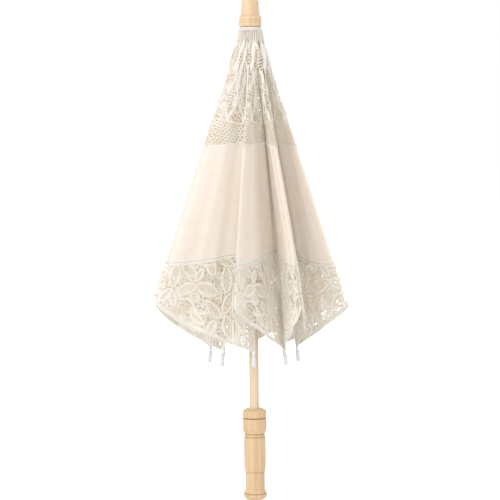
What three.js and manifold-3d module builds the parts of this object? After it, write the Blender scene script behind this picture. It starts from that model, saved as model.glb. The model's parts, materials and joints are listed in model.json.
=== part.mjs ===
// A lace parasol, closed: turned wooden handle and ferrule, a shaft, eight ribs with stretchers and a runner,
// and a canopy of eight gores, each folded once along its length.
// Millimetres, +Z up the shaft, origin at the centre of the handle's flat end.
import * as THREE from 'three';
import { mergeVertices } from 'three/addons/utils/BufferGeometryUtils.js';
import Module from 'manifold-3d';

const wasm = await Module();
wasm.setup();

// ---- Driving dimensions ----
const totalLength = 650;
const clearance = 0.3;
const shaftRadius = 6.2;

const handleLength = 120;
const handleRingRadius = 15.7;
const handleBarrelRadius = 14.2;
const handleNeckRadius = 12.6;
const handleSocketDepth = 80;
const handleFootHeight = 11.2;
const handleNeckFoot = 15;
const handleNeckTop = 36;
const handleBarrelFoot = 44;
const handleBarrelTop = 82;
const handleRingFoot = 92;
const handleRingGroove = 108;
const handleShoulder = 3.6;

const ferruleLength = 34;
const ferruleTopRadius = 11.4;
const ferruleCollarRadius = 14.4;
const ferruleCollarHeight = 14;
const ferruleSocketDepth = 22;

const edgeRound = 1;
const grooveDepth = 0.8;
const grooveWidth = 1;
const fineGrooveDepth = 0.4;
// Heights of the collar's two fine grooves, as shares of the collar's height.
const collarGrooves = [0.4, 0.62];

const ribCount = 8;
const ribLength = 430;
const ribRadius = 1.5;
const closedAngle = radians(6.5);
const openAngle = radians(52);
const stretcherJointAt = 168;
const stretcherRadius = 1.3;

const crownWall = 0.4;
const crownRim = 3;
const crownFlange = 2;
const crownSkirt = 4;
const eyeRadius = 2.2;
const eyeThickness = 1.6;
const eyeNeck = 2;
const wireRadius = 0.45;
const rosetteThickness = 1;
const rosetteInset = 1.5;
const runnerWall = 1;
const runnerTubeLength = 34;
const runnerFootHeight = 3;

const forkRelief = 1.2;
const forkBridge = 3;
const cheekThickness = 0.8;
const rivetRadius = 0.7;
const rivetClearance = 0.2;
const rivetHeadHeight = 0.6;

const tipRadius = 2.8;
const tipLength = 15;
const tipOverhang = 1.5;
const tipEdge = 1.2;
const tipTaper = 0.3;
const tipShoulder = 2;

const stopPinRadius = 0.9;
const stopPinOverhang = 2.5;
const catchLength = 22;
const catchHeight = 3.2;
const catchThickness = 1.2;
const catchDepth = 3;
const catchStep = 2;
const catchAzimuth = radians(-67.5);
const catchSwing = radians(8);

const clothThickness = 0.8;
const clothLift = 0.2;
const clothTipGap = 2.5;
const hemScallop = 57;
const clothStart = 28;
const ribMargin = 6;
const foldMargin = 1;
const hemCurve = 0.8;
// How far each gore's fold lies over towards its first rib when the canopy is closed, in degrees.
const foldLeans = [32, 43, 52, 30, 32, 32, 45, 32];

// How far solids that are joined run into each other, and cutters run out past a face.
const overlap = 1;

const roundSides = 48;
const shaftSides = 32;
const tipSides = 16;
const pinSides = 12;
const wireSides = 8;
const rodSides = 10;

// ---- Places worked out from the dimensions ----
const ribStep = 2 * Math.PI / ribCount;
const firstRibAzimuth = -Math.PI / 2;
const slotInner = shaftRadius + clearance + crownWall;
const pivotRadius = slotInner + clearance + eyeRadius;
const crownRadius = pivotRadius + crownRim;
const eyeLength = crownSkirt + eyeNeck;
const ferruleBottom = totalLength - ferruleLength;
const rosetteTop = ferruleBottom - clearance;
const notchTop = rosetteTop - rosetteThickness - clearance;
const notchPivot = notchTop - crownFlange - clearance - eyeRadius;
const closedRunnerPivot = notchPivot - 2 * stretcherJointAt * Math.cos(closedAngle);
const openRunnerPivot = notchPivot - 2 * stretcherJointAt * Math.cos(openAngle);
const runnerFootBelowPivot = eyeRadius + clearance + crownFlange + runnerTubeLength;
const stopPinHeight = openRunnerPivot + crownSkirt + stopPinRadius + clearance;
const catchTop = openRunnerPivot - runnerFootBelowPivot - clearance;
const catchPivotHeight = catchTop - catchLength;
const catchInner = shaftRadius - catchDepth + clearance;
// The catch's outer top corner rises by this much as it is pressed in.
const catchRise = (shaftRadius + catchHeight - catchInner) * Math.sin(catchSwing)
  - catchLength * (1 - Math.cos(catchSwing));
const runnerBore = shaftRadius + clearance;
const forkLength = (ribRadius + stretcherRadius + clearance) / Math.sin(2 * closedAngle) + forkRelief;
const clothReach = ribLength + tipOverhang - tipLength - clothTipGap;
const foldLength = ribLength - hemScallop;

const materials = {
  handleWood: finish(0xdbb283, 0.55, 0),
  shaftWood: finish(0xe4c69c, 0.55, 0),
  ferruleWood: finish(0xe6c094, 0.5, 0),
  whiteMetal: finish(0xdfdcd6, 0.4, 0.3),
  steel: finish(0xb9bbbd, 0.3, 1),
  whitePlastic: finish(0xe6e4df, 0.45, 0),
  cotton: finish(0xf0e6d6, 0.9, 0),
};

const parasol = new THREE.Group();
parasol.name = 'lace_parasol';
const hinges = [];

addHandle();
addShaft();
addFerrule();
addNotch();
addRunner();
addCatch();
const ribs = [];
for (let index = 0; index < ribCount; index += 1) ribs.push(addRib(index));
for (let index = 0; index < ribCount; index += 1) addGore(index);
parasol.userData = { hinges, mainRange: openAngle - closedAngle };

// ---- Small helpers ----
function radians(degrees) {
  return degrees * Math.PI / 180;
}

function shortestTurn(angle) {
  return angle - 2 * Math.PI * Math.round(angle / (2 * Math.PI));
}

function finish(color, roughness, metalness) {
  return new THREE.MeshStandardMaterial({ color, roughness, metalness });
}

function addPiece(name, geometry, material, parent = parasol) {
  const mesh = new THREE.Mesh(geometry, material);
  mesh.name = name;
  parent.add(mesh);
  return mesh;
}

// A closed geometry as a manifold solid: only shared positions are kept.
function solid(geometry) {
  const bare = geometry.index ? geometry.toNonIndexed() : geometry.clone();
  bare.deleteAttribute('normal');
  bare.deleteAttribute('uv');
  const merged = mergeVertices(bare, 1e-5);
  return new wasm.Manifold(new wasm.Mesh({
    numProp: 3,
    vertProperties: new Float32Array(merged.attributes.position.array),
    triVerts: new Uint32Array(merged.index.array),
  }));
}

function geometryOf(body) {
  const mesh = body.getMesh();
  const geometry = new THREE.BufferGeometry();
  geometry.setAttribute('position', new THREE.BufferAttribute(new Float32Array(mesh.vertProperties), 3));
  geometry.setIndex(new THREE.BufferAttribute(new Uint32Array(mesh.triVerts), 1));
  geometry.computeVertexNormals();
  return geometry;
}

// A round solid about Z from a closed outline of [radius, height] points.
function turned(outline, sides = roundSides) {
  const points = outline.map(([radius, height]) => new THREE.Vector2(radius, height));
  const lathe = new THREE.LatheGeometry([...points, points[0]], sides);
  return lathe.rotateX(Math.PI / 2);
}

function ring(inner, outer, low, high, sides = roundSides) {
  return turned([[inner, low], [outer, low], [outer, high], [inner, high]], sides);
}

function block(sizeX, sizeY, sizeZ, x, y, z) {
  return new THREE.BoxGeometry(sizeX, sizeY, sizeZ).translate(x, y, z);
}

// A rod along Z between two heights.
function rod(radius, low, high, sides = rodSides) {
  const cylinder = new THREE.CylinderGeometry(radius, radius, high - low, sides);
  return cylinder.rotateX(Math.PI / 2).translate(0, 0, (low + high) / 2);
}

// A rod along Y, centred on the given point.
function crossRod(radius, length, x, z, sides = 16) {
  return new THREE.CylinderGeometry(radius, radius, length, sides).translate(x, 0, z);
}

// Points of a quarter round from one outline point to the next, bulging away from the axis.
function roundedShoulder(fromRadius, fromHeight, toRadius, toHeight, steps = 4) {
  const points = [];
  for (let step = 0; step <= steps; step += 1) {
    const turn = (step / steps) * Math.PI / 2;
    const radius = fromRadius + (toRadius - fromRadius) * (1 - Math.cos(turn));
    const height = fromHeight + (toHeight - fromHeight) * Math.sin(turn);
    points.push([radius, height]);
  }
  return points;
}

function groove(radius, height, depth) {
  return [
    [radius, height - grooveWidth / 2],
    [radius - depth, height],
    [radius, height + grooveWidth / 2],
  ];
}

// ---- Handle, shaft and ferrule ----
function addHandle() {
  const top = handleLength;
  const socket = shaftRadius + clearance;
  const outline = [
    [0, 0],
    [handleRingRadius - 3 * edgeRound, 0],
    [handleRingRadius - 1.5 * edgeRound, edgeRound],
    [handleRingRadius - edgeRound / 2, 3 * edgeRound],
    ...groove(handleRingRadius - edgeRound / 2, handleFootHeight - 1.5 * grooveWidth, grooveDepth),
    [handleRingRadius - edgeRound, handleFootHeight],
    [handleNeckRadius + edgeRound / 2, handleNeckFoot - edgeRound],
    [handleNeckRadius, handleNeckFoot],
    [handleNeckRadius, handleNeckTop],
    [handleNeckRadius + edgeRound / 2, handleNeckTop + edgeRound / 2],
    [handleBarrelRadius - edgeRound / 2, handleBarrelFoot - 2 * edgeRound],
    [handleBarrelRadius, handleBarrelFoot],
    [handleBarrelRadius, handleBarrelTop - edgeRound],
    ...groove(handleBarrelRadius - edgeRound / 3, handleBarrelTop + grooveWidth, grooveDepth),
    ...groove(handleBarrelRadius - edgeRound / 2, handleBarrelTop + 4 * grooveWidth, grooveDepth),
    [handleBarrelRadius, handleRingFoot - 4 * edgeRound],
    [handleRingRadius - edgeRound, handleRingFoot],
    [handleRingRadius, handleRingFoot + 4 * edgeRound],
    ...groove(handleRingRadius, handleRingGroove, grooveDepth),
    [handleRingRadius, top - 1.5 * handleShoulder],
    ...roundedShoulder(handleRingRadius, top - handleShoulder, handleRingRadius - handleShoulder, top),
    [socket, top],
    [socket, top - handleSocketDepth],
    [0, top - handleSocketDepth],
  ];
  addPiece('handle', turned(outline), materials.handleWood);
}

function addShaft() {
  const low = handleLength - handleSocketDepth + clearance;
  const high = ferruleBottom + ferruleSocketDepth - clearance;
  const pinHole = crossRod(stopPinRadius + rivetClearance, 4 * shaftRadius, 0, stopPinHeight);
  const slotBottom = catchPivotHeight - catchDepth;
  const slotTop = catchTop + Math.max(catchRise, 0) + clearance;
  const slotDepth = shaftRadius + catchDepth;
  const slot = block(slotDepth, catchThickness + 2 * clearance, slotTop - slotBottom,
    slotDepth / 2 - catchDepth, 0, (slotTop + slotBottom) / 2).rotateZ(catchAzimuth);
  const body = solid(rod(shaftRadius, low, high, shaftSides)).subtract(solid(pinHole)).subtract(solid(slot));
  addPiece('shaft', geometryOf(body), materials.shaftWood);
  const pinLength = 2 * (shaftRadius + stopPinOverhang);
  addPiece('stop_pin', crossRod(stopPinRadius, pinLength, 0, stopPinHeight, pinSides), materials.steel);
}

function addFerrule() {
  const socket = shaftRadius + clearance;
  const socketTop = ferruleBottom + ferruleSocketDepth;
  const collarTop = ferruleBottom + ferruleCollarHeight;
  const outline = [
    [socket, ferruleBottom],
    [ferruleCollarRadius - edgeRound, ferruleBottom],
    [ferruleCollarRadius, ferruleBottom + edgeRound],
    ...collarGrooves.flatMap((share) => groove(ferruleCollarRadius,
      ferruleBottom + share * ferruleCollarHeight, fineGrooveDepth)),
    ...roundedShoulder(ferruleCollarRadius, collarTop - 3 * edgeRound, ferruleTopRadius + edgeRound / 2,
      collarTop + edgeRound),
    [ferruleTopRadius + edgeRound / 3, collarTop + 2 * edgeRound],
    [ferruleTopRadius, totalLength - edgeRound],
    [ferruleTopRadius - edgeRound, totalLength],
    [0, totalLength],
    [0, socketTop],
    [socket, socketTop],
  ];
  addPiece('ferrule', turned(outline), materials.ferruleWood);
  const rosette = ring(shaftRadius + clearance, ferruleCollarRadius - rosetteInset,
    rosetteTop - rosetteThickness, rosetteTop, shaftSides);
  addPiece('canopy_rosette', rosette, materials.cotton);
}

// ---- Notch and runner ----
// A slotted crown about Z with its pivot circle at height 0, its flange below and its slots open upwards.
function crownSolid(bore) {
  const flangeTop = -eyeRadius - clearance;
  const hub = solid(ring(bore, crownRadius, flangeTop - crownFlange, crownSkirt));
  const grooveHalf = wireRadius + clearance;
  const grooveInner = pivotRadius - grooveHalf;
  let body = hub.subtract(solid(ring(grooveInner, crownRadius + overlap, -grooveHalf, grooveHalf)));
  const slotWidth = eyeThickness + 2 * clearance;
  const slotLength = crownRadius + overlap - slotInner;
  const slotHeight = crownSkirt + overlap - flangeTop;
  for (let index = 0; index < ribCount; index += 1) {
    const slot = block(slotLength, slotWidth, slotHeight, slotInner + slotLength / 2, 0,
      flangeTop + slotHeight / 2).rotateZ(ribAzimuth(index));
    body = body.subtract(solid(slot));
  }
  return body;
}

function wireRing() {
  return new THREE.TorusGeometry(pivotRadius, wireRadius, wireSides, roundSides);
}

function addNotch() {
  const notch = addPiece('top_notch', geometryOf(crownSolid(shaftRadius + clearance)), materials.whiteMetal);
  notch.position.z = notchPivot;
  notch.rotation.x = Math.PI;
  addPiece('notch_wire', wireRing(), materials.steel).position.z = notchPivot;
}

function addRunner() {
  const flangeBottom = -eyeRadius - clearance - crownFlange;
  const tube = ring(runnerBore, runnerBore + runnerWall, -runnerFootBelowPivot, flangeBottom + overlap);
  const foot = ring(runnerBore, runnerBore + 2 * runnerWall, -runnerFootBelowPivot,
    -runnerFootBelowPivot + runnerFootHeight);
  const body = crownSolid(runnerBore).add(solid(tube)).add(solid(foot));
  addPiece('runner', geometryOf(body), materials.whiteMetal).position.z = closedRunnerPivot;
  addPiece('runner_wire', wireRing(), materials.steel).position.z = closedRunnerPivot;
}

// The sprung wedge under the open runner: its foot is the pivot and its top is the step that holds.
function addCatch() {
  const outline = new THREE.Shape([
    new THREE.Vector2(catchInner, catchPivotHeight),
    new THREE.Vector2(shaftRadius - clearance, catchPivotHeight),
    new THREE.Vector2(shaftRadius + catchHeight, catchTop - catchStep),
    new THREE.Vector2(shaftRadius + catchHeight, catchTop),
    new THREE.Vector2(catchInner, catchTop),
  ]);
  const wedge = new THREE.ExtrudeGeometry(outline, { depth: catchThickness, bevelEnabled: false });
  wedge.rotateX(Math.PI / 2).translate(0, catchThickness / 2, 0).rotateZ(catchAzimuth);
  addPiece('top_catch', wedge, materials.steel);
  const pivot = new THREE.Vector3(catchInner, 0, catchPivotHeight).applyAxisAngle(zAxis(), catchAzimuth);
  addHinge('top_catch', 'shaft', pivot, swingAxis(catchAzimuth), [0, catchSwing], null);
}

// ---- Ribs and stretchers ----
function zAxis() {
  return new THREE.Vector3(0, 0, 1);
}

function ribAzimuth(index) {
  return firstRibAzimuth + index * ribStep;
}

// The hinge axis about which a positive turn lifts a rib away from the shaft.
function swingAxis(azimuth) {
  return new THREE.Vector3(Math.sin(azimuth), -Math.cos(azimuth), 0);
}

function addHinge(child, parent, position, axis, range, ratio) {
  hinges.push({ child, parent, position, axis, range, ratio });
}

function ribNumber(index) {
  return ((index + ribCount) % ribCount) + 1;
}

// A rib hangs down local Z from its eye; local X is outwards.
function ribGeometry() {
  const eye = crossRod(eyeRadius, eyeThickness, 0, 0);
  const neck = block(2 * ribRadius, eyeThickness, eyeLength + overlap, 0, 0, -(eyeLength + overlap) / 2);
  const wireHole = crossRod(wireRadius + clearance, 2 * eyeThickness, 0, 0);
  const rivetHole = crossRod(rivetRadius + rivetClearance, 4 * ribRadius, 0, -stretcherJointAt);
  const body = solid(rod(ribRadius, -ribLength + tipOverhang, -eyeLength)).add(solid(eye)).add(solid(neck));
  return geometryOf(body.subtract(solid(wireHole)).subtract(solid(rivetHole)));
}

// A cap with a blind bore over the end of the rib.
function tipGeometry() {
  const bore = ribRadius + clearance;
  const bottom = -ribLength - tipOverhang;
  const boreEnd = -ribLength + tipOverhang - clearance;
  const top = bottom + tipLength;
  return turned([
    [0, bottom],
    [tipRadius - tipEdge, bottom],
    [tipRadius - tipTaper, bottom + tipEdge - tipTaper],
    [tipRadius, bottom + tipShoulder],
    [tipRadius - tipTaper, top],
    [bore, top],
    [bore, boreEnd],
    [0, boreEnd],
  ], tipSides);
}

// A stretcher stands up local Z from the runner: an eye below, a fork around the rib above.
function stretcherGeometry() {
  const forkFoot = stretcherJointAt - forkLength;
  const cheekOffset = ribRadius + clearance + cheekThickness / 2;
  const forkWidth = 2 * (cheekOffset + cheekThickness / 2);
  const cheekHeight = 2 * stretcherRadius;
  let body = solid(rod(stretcherRadius, eyeLength, forkFoot - forkBridge / 2));
  body = body.add(solid(crossRod(eyeRadius, eyeThickness, 0, 0)));
  body = body.add(solid(block(2 * stretcherRadius, eyeThickness, eyeLength + overlap, 0, 0,
    (eyeLength + overlap) / 2)));
  body = body.add(solid(block(cheekHeight, forkWidth, forkBridge, 0, 0, forkFoot - forkBridge / 2)));
  for (const side of [-1, 1]) {
    const arm = block(cheekHeight, cheekThickness, forkLength + overlap, 0, side * cheekOffset,
      stretcherJointAt - (forkLength + overlap) / 2);
    const end = crossRod(stretcherRadius, cheekThickness, 0, stretcherJointAt);
    end.translate(0, side * cheekOffset, 0);
    body = body.add(solid(arm)).add(solid(end));
  }
  body = body.subtract(solid(crossRod(wireRadius + clearance, 2 * eyeThickness, 0, 0)));
  const rivetHole = crossRod(rivetRadius + rivetClearance, 2 * forkWidth, 0, stretcherJointAt);
  return geometryOf(body.subtract(solid(rivetHole)));
}

function rivetGeometry() {
  const halfShank = ribRadius + 2 * clearance + cheekThickness;
  const headRadius = rivetRadius + rivetHeadHeight;
  const outline = [
    [0, -halfShank - rivetHeadHeight],
    [headRadius, -halfShank - rivetHeadHeight],
    [headRadius, -halfShank],
    [rivetRadius, -halfShank],
    [rivetRadius, halfShank],
    [headRadius, halfShank],
    [headRadius, halfShank + rivetHeadHeight],
    [0, halfShank + rivetHeadHeight],
  ];
  return turned(outline, pinSides).rotateX(Math.PI / 2);
}

function addRib(index) {
  const azimuth = ribAzimuth(index);
  const number = ribNumber(index);
  const radial = new THREE.Group();
  radial.rotation.z = azimuth;
  parasol.add(radial);
  const ribPlace = new THREE.Group();
  ribPlace.position.set(pivotRadius, 0, notchPivot);
  ribPlace.rotation.y = -closedAngle;
  radial.add(ribPlace);
  addPiece(`rib_${number}`, ribGeometry(), materials.whiteMetal, ribPlace);
  addPiece(`rib_tip_${number}`, tipGeometry(), materials.whitePlastic, ribPlace);
  addPiece(`rivet_${number}`, rivetGeometry(), materials.steel, ribPlace).position.z = -stretcherJointAt;
  const stretcherPlace = new THREE.Group();
  stretcherPlace.position.set(pivotRadius, 0, closedRunnerPivot);
  stretcherPlace.rotation.y = closedAngle;
  radial.add(stretcherPlace);
  addPiece(`stretcher_${number}`, stretcherGeometry(), materials.whiteMetal, stretcherPlace);

  const frame = ribFrame(azimuth, closedAngle);
  const travel = openAngle - closedAngle;
  const axis = swingAxis(azimuth);
  const joint = frame.foot.clone().addScaledVector(frame.along, stretcherJointAt);
  addHinge(`rib_${number}`, 'shaft', frame.foot, axis, [0, travel], index === 0 ? null : 1);
  addHinge(`stretcher_${number}`, `rib_${number}`, joint, axis, [-2 * travel, 0], -2);
  if (index === 0) {
    const runnerPivot = new THREE.Vector3(pivotRadius, 0, closedRunnerPivot).applyAxisAngle(zAxis(), azimuth);
    addHinge('runner', `stretcher_${number}`, runnerPivot, axis, [0, travel], 1);
  }
  return frame;
}

// ---- Canopy ----
// A rib's line and the two directions square to it: sideways, and away from the shaft.
function ribFrame(azimuth, lean) {
  const radial = new THREE.Vector3(Math.cos(azimuth), Math.sin(azimuth), 0);
  const side = new THREE.Vector3(-Math.sin(azimuth), Math.cos(azimuth), 0);
  const foot = radial.clone().multiplyScalar(pivotRadius).setZ(notchPivot);
  const along = radial.clone().multiplyScalar(Math.sin(lean)).setZ(-Math.cos(lean));
  const out = along.clone().cross(side);
  return { foot, along, side, out };
}

// Where a point lies against a rib: how far along, how far off, and at what turn about the rib.
function againstRib(point, frame) {
  const offset = point.clone().sub(frame.foot);
  const along = offset.dot(frame.along);
  offset.addScaledVector(frame.along, -along);
  const turn = Math.atan2(offset.dot(frame.out), offset.dot(frame.side));
  return { along, off: offset.length(), turn };
}

// The turn about a rib at which a panel points straight at the neighbouring rib.
function turnTowards(frame, neighbour) {
  const direction = neighbour.along.clone();
  direction.addScaledVector(frame.along, -direction.dot(frame.along));
  return Math.atan2(direction.dot(frame.out), direction.dot(frame.side));
}

function foldEnd(goreAzimuth, lean, polar) {
  const azimuth = goreAzimuth - lean;
  const reach = foldLength * Math.sin(polar);
  const height = notchPivot - foldLength * Math.cos(polar);
  return new THREE.Vector3(reach * Math.cos(azimuth), reach * Math.sin(azimuth), height);
}

// The polar angle of a closed fold for which its two panels just span the gap between their open ribs.
function foldPolar(goreAzimuth, lean, first, second) {
  const halfSpread = Math.asin(Math.sin(openAngle) * Math.sin(ribStep / 2));
  let low = closedAngle;
  let high = radians(45);
  while (high - low > 1e-9) {
    const polar = (low + high) / 2;
    const end = foldEnd(goreAzimuth, lean, polar);
    const a = againstRib(end, first);
    const b = againstRib(end, second);
    const ribGap = 2 * pivotRadius * Math.sin(ribStep / 2) + (a.along + b.along) * Math.sin(halfSpread);
    const spanned = (a.off + b.off) * Math.cos(halfSpread);
    if (spanned < ribGap) low = polar;
    else high = polar;
  }
  return low;
}

// One panel between a rib and the fold, flat, from near the notch to the hem.
function panelShape(place) {
  const hubOff = pivotRadius * Math.sin(ribStep / 2);
  const slope = (place.off - hubOff) / place.along;
  const outline = [new THREE.Vector2(clothStart, ribMargin)];
  const steps = 6;
  const last = place.off - foldMargin;
  for (let step = 0; step <= steps; step += 1) {
    const off = ribMargin + (last - ribMargin) * step / steps;
    const dip = 1 - (1 - off / place.off) ** hemCurve;
    outline.push(new THREE.Vector2(clothReach - (clothReach - place.along) * dip, off));
  }
  outline.push(new THREE.Vector2(clothStart, hubOff + slope * clothStart - foldMargin));
  return new THREE.Shape(outline);
}

function addPanel(name, rib, ribName, openTurn, place, outerSign) {
  const across = rib.side.clone().multiplyScalar(Math.cos(place.turn));
  across.addScaledVector(rib.out, Math.sin(place.turn));
  const normal = rib.along.clone().cross(across);
  const base = outerSign > 0 ? clothLift : -clothLift - clothThickness;
  const layer = { depth: clothThickness, bevelEnabled: false };
  const geometry = new THREE.ExtrudeGeometry(panelShape(place), layer);
  geometry.translate(0, 0, base);
  const mesh = addPiece(name, geometry, materials.cotton);
  mesh.applyMatrix4(new THREE.Matrix4().makeBasis(rib.along, across, normal).setPosition(rib.foot));
  const swing = shortestTurn(openTurn - place.turn);
  const range = swing < 0 ? [swing, 0] : [0, swing];
  addHinge(name, ribName, rib.foot, rib.along, range, swing / (openAngle - closedAngle));
}

// Two panels meet along the gore's fold; each one is hinged on its own rib.
function addGore(index) {
  const next = (index + 1) % ribCount;
  const goreAzimuth = ribAzimuth(index) + ribStep / 2;
  const first = ribs[index];
  const second = ribs[next];
  const openFirst = ribFrame(ribAzimuth(index), openAngle);
  const openSecond = ribFrame(ribAzimuth(index + 1), openAngle);
  const lean = radians(foldLeans[index]);
  const end = foldEnd(goreAzimuth, lean, foldPolar(goreAzimuth, lean, first, second));
  const number = ribNumber(index);
  addPanel(`gore_${number}_left`, first, `rib_${number}`, turnTowards(openFirst, openSecond),
    againstRib(end, first), 1);
  addPanel(`gore_${number}_right`, second, `rib_${ribNumber(next)}`, turnTowards(openSecond, openFirst),
    againstRib(end, second), -1);
}

export default parasol;
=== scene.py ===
import json
import math

import bpy
import numpy as np
from mathutils import Matrix, Vector


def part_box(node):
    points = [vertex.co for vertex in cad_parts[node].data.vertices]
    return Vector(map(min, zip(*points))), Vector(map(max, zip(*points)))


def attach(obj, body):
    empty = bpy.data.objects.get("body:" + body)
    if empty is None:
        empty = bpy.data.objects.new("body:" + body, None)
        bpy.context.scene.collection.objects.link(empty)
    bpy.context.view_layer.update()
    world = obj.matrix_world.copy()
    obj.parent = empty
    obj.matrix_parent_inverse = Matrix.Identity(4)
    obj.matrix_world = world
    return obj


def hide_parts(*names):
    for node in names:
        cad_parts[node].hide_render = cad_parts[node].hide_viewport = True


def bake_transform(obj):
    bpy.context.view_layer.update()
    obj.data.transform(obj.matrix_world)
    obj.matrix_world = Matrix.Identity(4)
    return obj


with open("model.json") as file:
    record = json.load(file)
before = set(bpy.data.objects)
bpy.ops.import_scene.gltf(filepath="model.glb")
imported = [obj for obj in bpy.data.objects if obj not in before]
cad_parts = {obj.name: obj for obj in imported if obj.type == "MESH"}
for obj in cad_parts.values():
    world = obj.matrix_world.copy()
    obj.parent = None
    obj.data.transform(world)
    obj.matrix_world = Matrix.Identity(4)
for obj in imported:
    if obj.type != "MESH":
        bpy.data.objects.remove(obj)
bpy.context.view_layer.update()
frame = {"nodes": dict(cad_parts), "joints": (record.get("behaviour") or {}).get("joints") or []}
joints = {joint["child"]: joint for joint in frame["joints"]}
goreCount = 8
mm = 0.001
uvPerMetre = 10


def unit(vector):
    return vector / np.linalg.norm(vector)


def smoothStep(values):
    clipped = np.clip(values, 0.0, 1.0)
    return clipped * clipped * (3 - 2 * clipped)


def newPiece(name, points, faces, material, smooth=True):
    # faces is a list of index arrays, one row per face, each array holding faces of one size
    mesh = bpy.data.meshes.new(name)
    points = np.asarray(points, np.float32)
    loops = np.concatenate([np.asarray(group, np.int32).ravel() for group in faces])
    sizes = np.concatenate([np.full(len(group), np.shape(group)[1], np.int32) for group in faces])
    starts = np.concatenate([[0], np.cumsum(sizes)[:-1]]).astype(np.int32)
    mesh.vertices.add(len(points))
    mesh.vertices.foreach_set("co", points.ravel())
    mesh.loops.add(len(loops))
    mesh.loops.foreach_set("vertex_index", loops)
    mesh.polygons.add(len(sizes))
    mesh.polygons.foreach_set("loop_start", starts)
    mesh.update(calc_edges=True)
    mesh.polygons.foreach_set("use_smooth", np.full(len(sizes), smooth))
    mesh.materials.append(material)
    piece = bpy.data.objects.new(name, mesh)
    bpy.context.scene.collection.objects.link(piece)
    return piece


def addUv(piece, uvPoints, name="clothMap"):
    # one place on the flat cloth for each vertex, in metres
    mesh = piece.data
    layer = mesh.uv_layers.new(name=name)
    indices = np.zeros(len(mesh.loops), np.int32)
    mesh.loops.foreach_get("vertex_index", indices)
    layer.data.foreach_set("uv", (np.asarray(uvPoints) * uvPerMetre).astype(np.float32)[indices].ravel())


def gridFaces(rows, columns, closed=False):
    index = np.arange(rows * columns).reshape(rows, columns)
    if closed:
        index = np.hstack([index, index[:, :1]])
    quads = np.stack([index[:-1, :-1], index[:-1, 1:], index[1:, 1:], index[1:, :-1]], -1)
    return quads.reshape(-1, 4)


def evenOutline(outline, step=1.2):
    # the same outline with a point at least every step
    points = [outline[0]]
    for start, end in zip(outline, outline[1:]):
        count = max(1, math.ceil(math.dist(start, end) / step))
        for part in range(1, count + 1):
            t = part / count
            points.append((start[0] + (end[0] - start[0]) * t, start[1] + (end[1] - start[1]) * t))
    return points


def addMask(piece, name, values):
    attribute = piece.data.attributes.new(name, "FLOAT", "POINT")
    attribute.data.foreach_set("value", np.asarray(values, np.float32))


def turnedPiece(name, outline, material, sides=96, shadeBands=()):
    # outline is (radius, height) in millimetres from the bottom of the axis to its top
    # each band is (height, strength, reach): painted shade that darkens a groove, a step or the underside
    ring = np.linspace(0, 2 * math.pi, sides, endpoint=False)
    bottom, top = outline[0][1] * mm, outline[-1][1] * mm
    inner = np.array(evenOutline(outline[1:-1])) * mm
    points = np.stack([
        inner[:, :1] * np.cos(ring),
        inner[:, :1] * np.sin(ring),
        np.repeat(inner[:, 1:], sides, 1),
    ], -1).reshape(-1, 3)
    count = len(points)
    points = np.vstack([points, [[0, 0, bottom], [0, 0, top]]])
    here = np.arange(sides)
    there = (here + 1) % sides
    lastRing = count - sides
    foot = np.stack([np.full(sides, count), there, here], -1)
    head = np.stack([np.full(sides, count + 1), lastRing + here, lastRing + there], -1)
    piece = newPiece(name, points, [gridFaces(len(inner), sides, True), foot, head], material)
    piece.data.set_sharp_from_angle(angle=math.radians(38))
    heights = points[:, 2] / mm
    # painted shade: a darker band at each listed height, strongest at its middle
    paintedShade = np.zeros(len(points))
    for height, strength, reach in shadeBands:
        paintedShade = np.maximum(paintedShade, strength * np.exp(-((heights - height) / reach) ** 2))
    addMask(piece, "paintedShade", paintedShade)
    return piece


def arcPoints(start, end, bulge, steps=5):
    # a curved stretch of an outline between two (radius, height) points
    (r0, z0), (r1, z1) = start, end
    points = []
    for step in range(steps + 1):
        t = step / steps
        out = bulge * math.sin(math.pi * t)
        points.append((r0 + (r1 - r0) * t + out, z0 + (z1 - z0) * t))
    return points


def newMaterial(name, roughness, sheen=0.0, coat=0.0, metallic=0.0, specular=0.5):
    material = bpy.data.materials.new(name)
    material.use_nodes = True
    shader = material.node_tree.nodes["Principled BSDF"]
    shader.inputs["Roughness"].default_value = roughness
    shader.inputs["Sheen Weight"].default_value = sheen
    shader.inputs["Coat Weight"].default_value = coat
    shader.inputs["Metallic"].default_value = metallic
    shader.inputs["Specular IOR Level"].default_value = specular
    return material, material.node_tree.nodes, material.node_tree.links, shader


def newGroup(name, inputs, outputs):
    group = bpy.data.node_groups.new(name, "ShaderNodeTree")
    for socketName, kind, value in inputs:
        socket = group.interface.new_socket(name=socketName, in_out="INPUT", socket_type=kind)
        if value is not None:
            socket.default_value = value
    for socketName, kind in outputs:
        group.interface.new_socket(name=socketName, in_out="OUTPUT", socket_type=kind)
    start = group.nodes.new("NodeGroupInput")
    end = group.nodes.new("NodeGroupOutput")
    return group, start, end


def mathNode(nodes, links, operation, first, second=None, third=None):
    node = nodes.new("ShaderNodeMath")
    node.operation = operation
    for slot, value in enumerate((first, second, third)):
        if value is None:
            continue
        if isinstance(value, (int, float)):
            node.inputs[slot].default_value = value
        else:
            links.new(value, node.inputs[slot])
    return node.outputs[0]


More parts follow.
